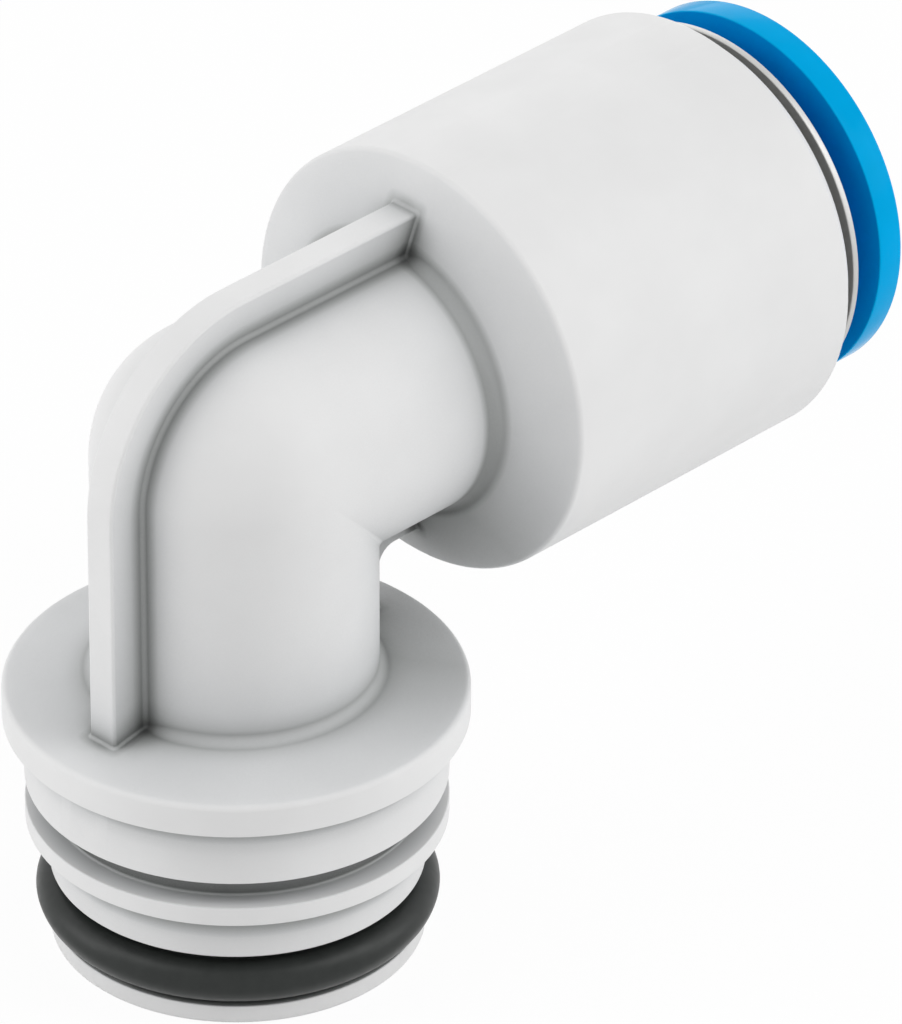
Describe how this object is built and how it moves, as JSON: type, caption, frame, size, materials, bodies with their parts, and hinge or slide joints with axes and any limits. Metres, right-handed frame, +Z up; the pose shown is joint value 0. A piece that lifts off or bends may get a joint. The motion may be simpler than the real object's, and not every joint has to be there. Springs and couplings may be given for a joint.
{
  "type": "push to connect fitting",
  "caption": "Elbow push-in tube fitting with a plug-in spigot sealed by an O-ring, and a tube socket with a metal sleeve, clamping segments and a press-to-release ring.",
  "frame": {"origin": "on the spigot's axis, level with the underside of the flange, where the fitting seats on its port", "axes": "+Z up along the spigot's axis towards the elbow, +X along the tube socket towards its mouth"},
  "size_m": [0.0416, 0.0198, 0.0328],
  "materials": {
    "white_plastic": "satin moulded PBT, white",
    "spigot_rubber": "smooth nitrile rubber, black",
    "seal_rubber": "nitrile rubber, black",
    "support_plastic": "moulded acetal, natural",
    "plated_brass": "nickel-plated, turned",
    "blue_plastic": "moulded acetal, blue",
    "segment_steel": "stamped stainless steel"
  },
  "bodies": {
    "fitting_body": {"elbow_body": "white_plastic", "spigot_o_ring": "spigot_rubber", "tube_seal_ring": "seal_rubber", "seal_support_ring": "support_plastic", "retaining_sleeve": "plated_brass"},
    "release_ring": {"release_ring": "blue_plastic"},
    "clamping_segment_1": {"clamping_segment_1": "segment_steel"},
    "clamping_segment_2": {"clamping_segment_2": "segment_steel"},
    "clamping_segment_3": {"clamping_segment_3": "segment_steel"},
    "clamping_segment_4": {"clamping_segment_4": "segment_steel"},
    "clamping_segment_5": {"clamping_segment_5": "segment_steel"},
    "clamping_segment_6": {"clamping_segment_6": "segment_steel"},
    "clamping_segment_7": {"clamping_segment_7": "segment_steel"},
    "clamping_segment_8": {"clamping_segment_8": "segment_steel"}
  },
  "joints": [
    {"name": "release_press", "type": "slide", "parent": "fitting_body", "child": "release_ring", "axis": [-1, 0, 0], "range_m": [0, 0.0011], "stiffness_N_per_m": 1500},
    {"name": "segment_1_open", "type": "slide", "parent": "release_ring", "child": "clamping_segment_1", "axis": [0, -0.3827, 0.9239], "range_m": [0, 0.000275]},
    {"name": "segment_2_open", "type": "slide", "parent": "release_ring", "child": "clamping_segment_2", "axis": [0, -0.9239, 0.3827], "range_m": [0, 0.000275]},
    {"name": "segment_3_open", "type": "slide", "parent": "release_ring", "child": "clamping_segment_3", "axis": [0, -0.9239, -0.3827], "range_m": [0, 0.000275]},
    {"name": "segment_4_open", "type": "slide", "parent": "release_ring", "child": "clamping_segment_4", "axis": [0, -0.3827, -0.9239], "range_m": [0, 0.000275]},
    {"name": "segment_5_open", "type": "slide", "parent": "release_ring", "child": "clamping_segment_5", "axis": [0, 0.3827, -0.9239], "range_m": [0, 0.000275]},
    {"name": "segment_6_open", "type": "slide", "parent": "release_ring", "child": "clamping_segment_6", "axis": [0, 0.9239, -0.3827], "range_m": [0, 0.000275]},
    {"name": "segment_7_open", "type": "slide", "parent": "release_ring", "child": "clamping_segment_7", "axis": [0, 0.9239, 0.3827], "range_m": [0, 0.000275]},
    {"name": "segment_8_open", "type": "slide", "parent": "release_ring", "child": "clamping_segment_8", "axis": [0, 0.3827, 0.9239], "range_m": [0, 0.000275]}
  ],
  "couplings": [
    {"joint": "segment_1_open", "follows": "release_press", "ratio": 0.25},
    {"joint": "segment_2_open", "follows": "release_press", "ratio": 0.25},
    {"joint": "segment_3_open", "follows": "release_press", "ratio": 0.25},
    {"joint": "segment_4_open", "follows": "release_press", "ratio": 0.25},
    {"joint": "segment_5_open", "follows": "release_press", "ratio": 0.25},
    {"joint": "segment_6_open", "follows": "release_press", "ratio": 0.25},
    {"joint": "segment_7_open", "follows": "release_press", "ratio": 0.25},
    {"joint": "segment_8_open", "follows": "release_press", "ratio": 0.25}
  ]
}
